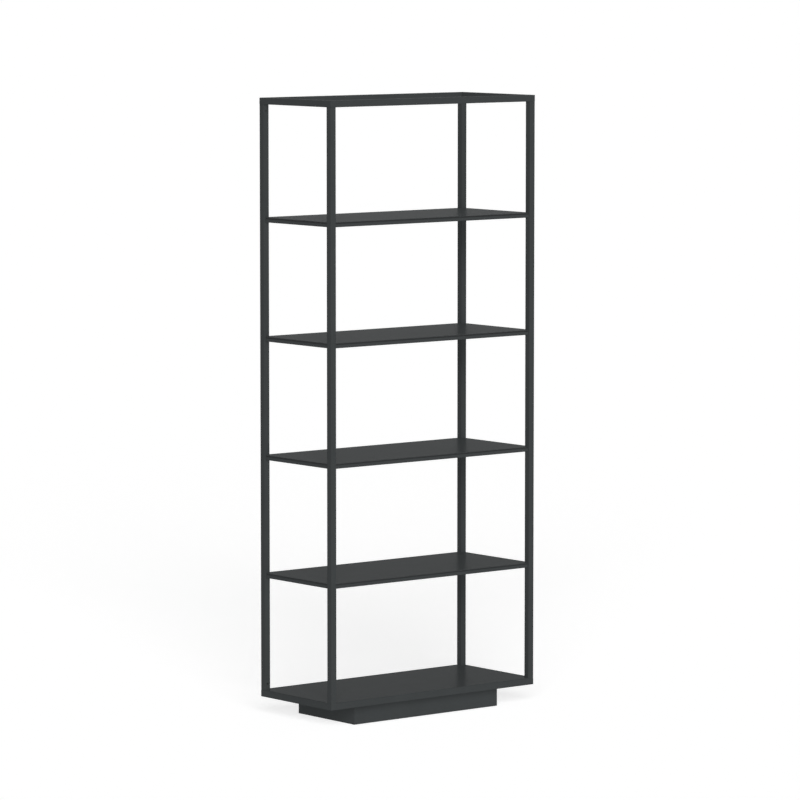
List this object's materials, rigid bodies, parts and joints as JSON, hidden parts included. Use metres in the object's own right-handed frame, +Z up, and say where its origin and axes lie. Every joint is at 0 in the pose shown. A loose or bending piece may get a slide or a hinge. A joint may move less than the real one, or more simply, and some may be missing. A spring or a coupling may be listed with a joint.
{
  "type": "outdoor shelving unit",
  "caption": "Tall open outdoor shelving unit of powder-coated square tube, with an open top ring, thin notched shelves, a closed base and a recessed plinth on levelling feet",
  "frame": {"origin": "on the ground, under the middle of the unit", "axes": "+X to the right seen from the front, +Y from the front to the back, +Z up"},
  "size_m": [0.8, 0.348, 1.8945],
  "materials": {
    "frame_coat": "fine-textured satin powder coat on galvanised steel tube, anthracite",
    "shelf_coat": "fine-textured satin powder coat on galvanised steel sheet, anthracite",
    "plinth_coat": "fine-textured satin powder coat on folded steel sheet, anthracite",
    "key_metal": "die-cast, bare",
    "screw_steel": "stainless, bright",
    "grub_steel": "blackened with black oxide",
    "strip_rubber": "matt black rubber",
    "foot_plastic": "black moulded plastic"
  },
  "bodies": {
    "frame": {"base_bearer_left": "frame_coat", "base_bearer_right": "frame_coat", "base_key_front_left": "key_metal", "base_key_front_right": "key_metal", "base_key_rear_left": "key_metal", "base_key_rear_right": "key_metal", "base_plate": "frame_coat", "base_rail_front": "frame_coat", "base_rail_left": "frame_coat", "base_rail_rear": "frame_coat", "base_rail_right": "frame_coat", "foot_brackets": "frame_coat", "grub_screws": "grub_steel", "plinth_front": "plinth_coat", "plinth_left": "plinth_coat", "plinth_rear": "plinth_coat", "plinth_right": "plinth_coat", "plinth_screws": "screw_steel", "post_front_left": "frame_coat", "post_front_right": "frame_coat", "post_rear_left": "frame_coat", "post_rear_right": "frame_coat", "rail_spigots": "frame_coat", "shelf_lower_middle_plate": "shelf_coat", "shelf_lower_middle_rail_front": "shelf_coat", "shelf_lower_middle_rail_left": "shelf_coat", "shelf_lower_middle_rail_rear": "shelf_coat", "shelf_lower_middle_rail_right": "shelf_coat", "shelf_lower_plate": "shelf_coat", "shelf_lower_rail_front": "shelf_coat", "shelf_lower_rail_left": "shelf_coat", "shelf_lower_rail_rear": "shelf_coat", "shelf_lower_rail_right": "shelf_coat", "shelf_strips": "strip_rubber", "shelf_upper_middle_plate": "shelf_coat", "shelf_upper_middle_rail_front": "shelf_coat", "shelf_upper_middle_rail_left": "shelf_coat", "shelf_upper_middle_rail_rear": "shelf_coat", "shelf_upper_middle_rail_right": "shelf_coat", "shelf_upper_plate": "shelf_coat", "shelf_upper_rail_front": "shelf_coat", "shelf_upper_rail_left": "shelf_coat", "shelf_upper_rail_rear": "shelf_coat", "shelf_upper_rail_right": "shelf_coat", "top_key_front_left": "key_metal", "top_key_front_right": "key_metal", "top_key_rear_left": "key_metal", "top_key_rear_right": "key_metal", "top_rail_front": "frame_coat", "top_rail_left": "frame_coat", "top_rail_rear": "frame_coat", "top_rail_right": "frame_coat"},
    "foot_front_left": {"levelling_pad_front_left": "foot_plastic", "levelling_stem_front_left": "screw_steel"},
    "foot_front_right": {"levelling_pad_front_right": "foot_plastic", "levelling_stem_front_right": "screw_steel"},
    "foot_rear_left": {"levelling_pad_rear_left": "foot_plastic", "levelling_stem_rear_left": "screw_steel"},
    "foot_rear_right": {"levelling_pad_rear_right": "foot_plastic", "levelling_stem_rear_right": "screw_steel"}
  },
  "joints": [
    {"name": "foot_front_left_travel", "type": "slide", "parent": "frame", "child": "foot_front_left", "axis": [0, 0, 1], "range_m": [-0.015, 0]},
    {"name": "foot_front_right_travel", "type": "slide", "parent": "frame", "child": "foot_front_right", "axis": [0, 0, 1], "range_m": [-0.015, 0]},
    {"name": "foot_rear_left_travel", "type": "slide", "parent": "frame", "child": "foot_rear_left", "axis": [0, 0, 1], "range_m": [-0.015, 0]},
    {"name": "foot_rear_right_travel", "type": "slide", "parent": "frame", "child": "foot_rear_right", "axis": [0, 0, 1], "range_m": [-0.015, 0]}
  ]
}
